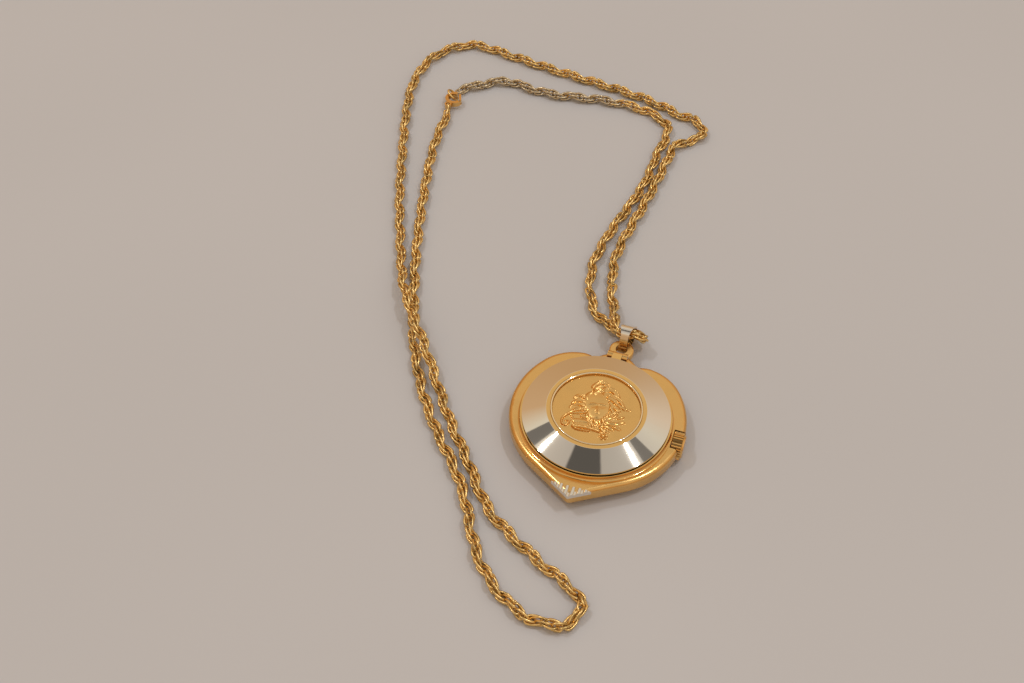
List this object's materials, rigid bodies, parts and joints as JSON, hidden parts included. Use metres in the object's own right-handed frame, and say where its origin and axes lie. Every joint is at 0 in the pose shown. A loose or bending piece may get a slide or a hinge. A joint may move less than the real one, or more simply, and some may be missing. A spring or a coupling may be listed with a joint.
{
  "type": "pendant watch",
  "caption": "Heart-shaped pendant watch with a hinged round medallion lid, a fluted crown and a wound movement, hung by a strap bail on a rope chain with a claw clasp.",
  "frame": {"origin": "centre of the case back's flat face, on the surface that the watch lies on", "axes": "+Z through the dial and lid, +Y to twelve o'clock and the bail, +X to the crown"},
  "size_m": [0.0905, 0.1527, 0.008],
  "materials": {
    "satin_gold": "satin gold plate",
    "polished_gold": "polished gold plate",
    "white_metal": "polished white metal",
    "chain_gold": "worn gold plate",
    "movement_brass": "turned brass",
    "nickel": "nickel plated and brushed",
    "steel": "polished steel",
    "blued_steel": "blued steel",
    "ruby": "polished ruby",
    "mineral_glass": "clear polished",
    "dial_silver": "silvered satin",
    "gasket_rubber": "matte"
  },
  "bodies": {
    "case": {"heart_case": "satin_gold", "tip_facets": "white_metal", "case_back": "polished_gold", "case_gasket": "gasket_rubber", "crystal_bezel": "polished_gold", "crystal": "mineral_glass", "dial": "dial_silver", "dial_markers": "polished_gold", "movement_ring": "movement_brass", "crown_tube": "polished_gold", "hinge_pin": "steel", "click_spring": "steel", "hairspring": "blued_steel", "main_plate": "nickel", "barrel_bridge": "nickel", "train_bridge": "nickel", "pallet_bridge": "nickel", "balance_cock": "nickel", "bridge_screws": "steel", "jewels": "ruby", "chain_long_run": "chain_gold", "chain_bail_run": "chain_gold", "chain_short_run": "chain_gold", "clasp_body": "polished_gold", "clasp_ring": "chain_gold", "chain_ring": "chain_gold"},
    "lid": {"lid_shell": "white_metal", "medallion": "satin_gold", "medallion_rim": "polished_gold", "lid_liner": "polished_gold", "lid_knuckle": "polished_gold"},
    "winding": {"winding_pinion": "steel"},
    "crown": {"crown": "polished_gold", "stem": "steel"},
    "sliding_pinion": {"sliding_pinion": "steel"},
    "crown_wheel": {"crown_wheel": "steel"},
    "ratchet": {"ratchet_wheel": "steel", "barrel_arbor": "steel"},
    "barrel": {"barrel": "movement_brass", "barrel_cover": "movement_brass", "mainspring": "steel"},
    "click": {"click": "steel"},
    "centre": {"centre_wheel": "movement_brass", "cannon_pinion": "steel", "minute_hand": "blued_steel"},
    "minute_wheel": {"minute_wheel": "movement_brass"},
    "hour": {"hour_wheel": "movement_brass", "hour_hand": "blued_steel"},
    "third": {"third_wheel": "movement_brass"},
    "fourth": {"fourth_wheel": "movement_brass"},
    "escape": {"escape_wheel": "steel"},
    "pallet_fork": {"pallet_fork": "steel"},
    "balance": {"balance_wheel": "movement_brass"},
    "setting_lever": {"setting_lever": "steel"},
    "yoke": {"yoke": "steel"},
    "bail": {"bail": "white_metal"},
    "clasp_lever": {"clasp_lever": "polished_gold"}
  },
  "joints": [
    {"name": "lid_open", "type": "hinge", "parent": "case", "child": "lid", "pos_m": [0, 0.01535, 0.00545], "axis": [-1, 0, 0], "range_deg": [0, 95]},
    {"name": "crown_turn", "type": "hinge", "parent": "case", "child": "winding", "pos_m": [0.0078, 0, 0.00275], "axis": [1, 0, 0], "continuous": true},
    {"name": "crown_pull", "type": "slide", "parent": "winding", "child": "crown", "axis": [1, 0, 0], "range_m": [0, 0.0009]},
    {"name": "sliding_pinion_shift", "type": "slide", "parent": "winding", "child": "sliding_pinion", "axis": [-1, 0, 0], "range_m": [0, 0.0006]},
    {"name": "yoke_swing", "type": "hinge", "parent": "case", "child": "yoke", "pos_m": [0.0084, -0.0029, 0.0031], "axis": [0, 0, 1], "range_deg": [0, 20]},
    {"name": "setting_lever_swing", "type": "hinge", "parent": "case", "child": "setting_lever", "pos_m": [0.0091, -0.002, 0.0031], "axis": [0, 0, -1], "range_deg": [0, 20]},
    {"name": "crown_wheel_turn", "type": "hinge", "parent": "case", "child": "crown_wheel", "pos_m": [0.0065, -0.0012, 0.001], "axis": [0, 0, 1], "continuous": true},
    {"name": "ratchet_turn", "type": "hinge", "parent": "case", "child": "ratchet", "pos_m": [0.0023, -0.00398, 0.001], "axis": [0, 0, 1], "continuous": true},
    {"name": "barrel_turn", "type": "hinge", "parent": "case", "child": "barrel", "pos_m": [0.0023, -0.00398, 0.002], "axis": [0, 0, 1], "continuous": true},
    {"name": "click_swing", "type": "hinge", "parent": "case", "child": "click", "pos_m": [-0.0012, -0.0052, 0.001], "axis": [0, 0, 1], "range_deg": [0, 12]},
    {"name": "minute_turn", "type": "hinge", "parent": "case", "child": "centre", "pos_m": [0, 0, 0.003], "axis": [0, 0, -1], "continuous": true},
    {"name": "hour_turn", "type": "hinge", "parent": "case", "child": "hour", "pos_m": [0, 0, 0.004], "axis": [0, 0, -1], "continuous": true},
    {"name": "minute_wheel_turn", "type": "hinge", "parent": "case", "child": "minute_wheel", "pos_m": [0.0012, -0.00208, 0.0036], "axis": [0, 0, -1], "continuous": true},
    {"name": "third_turn", "type": "hinge", "parent": "case", "child": "third", "pos_m": [-0.00377, 0.00066, 0.002], "axis": [0, 0, -1], "continuous": true},
    {"name": "fourth_turn", "type": "hinge", "parent": "case", "child": "fourth", "pos_m": [-0.00294, 0.00374, 0.002], "axis": [0, 0, -1], "continuous": true},
    {"name": "escape_turn", "type": "hinge", "parent": "case", "child": "escape", "pos_m": [-0.00005, 0.00479, 0.002], "axis": [0, 0, -1], "continuous": true},
    {"name": "pallet_swing", "type": "hinge", "parent": "case", "child": "pallet_fork", "pos_m": [0.0026, 0.0055, 0.0024], "axis": [0, 0, 1], "range_deg": [-6, 6]},
    {"name": "balance_swing", "type": "hinge", "parent": "case", "child": "balance", "pos_m": [0.0049, 0.0042, 0.002], "axis": [0, 0, 1], "range_deg": [-270, 270]},
    {"name": "bail_swing", "type": "hinge", "parent": "case", "child": "bail", "pos_m": [0, 0.02065, 0.003], "axis": [1, 0, 0], "range_deg": [0, 60], "deforming": ["chain_bail_run"]},
    {"name": "clasp_lever_press", "type": "hinge", "parent": "case", "child": "clasp_lever", "pos_m": [-0.05824, 0.08484, 0.0014], "axis": [0, 0, 1], "range_deg": [0, 12]}
  ],
  "couplings": [
    {"joint": "sliding_pinion_shift", "follows": "crown_pull", "ratio": 0.6},
    {"joint": "yoke_swing", "follows": "crown_pull", "rad_per_m": 380},
    {"joint": "setting_lever_swing", "follows": "crown_pull", "rad_per_m": 380},
    {"joint": "crown_wheel_turn", "follows": "crown_turn", "ratio": 0.66667},
    {"joint": "ratchet_turn", "follows": "crown_turn", "ratio": -0.46667},
    {"joint": "minute_turn", "follows": "fourth_turn", "ratio": 0.016667},
    {"joint": "hour_turn", "follows": "fourth_turn", "ratio": 0.0013889},
    {"joint": "minute_wheel_turn", "follows": "fourth_turn", "ratio": -0.0055556},
    {"joint": "third_turn", "follows": "fourth_turn", "ratio": -0.13333},
    {"joint": "escape_turn", "follows": "fourth_turn", "ratio": -10},
    {"joint": "barrel_turn", "follows": "fourth_turn", "ratio": 0.0020833}
  ]
}
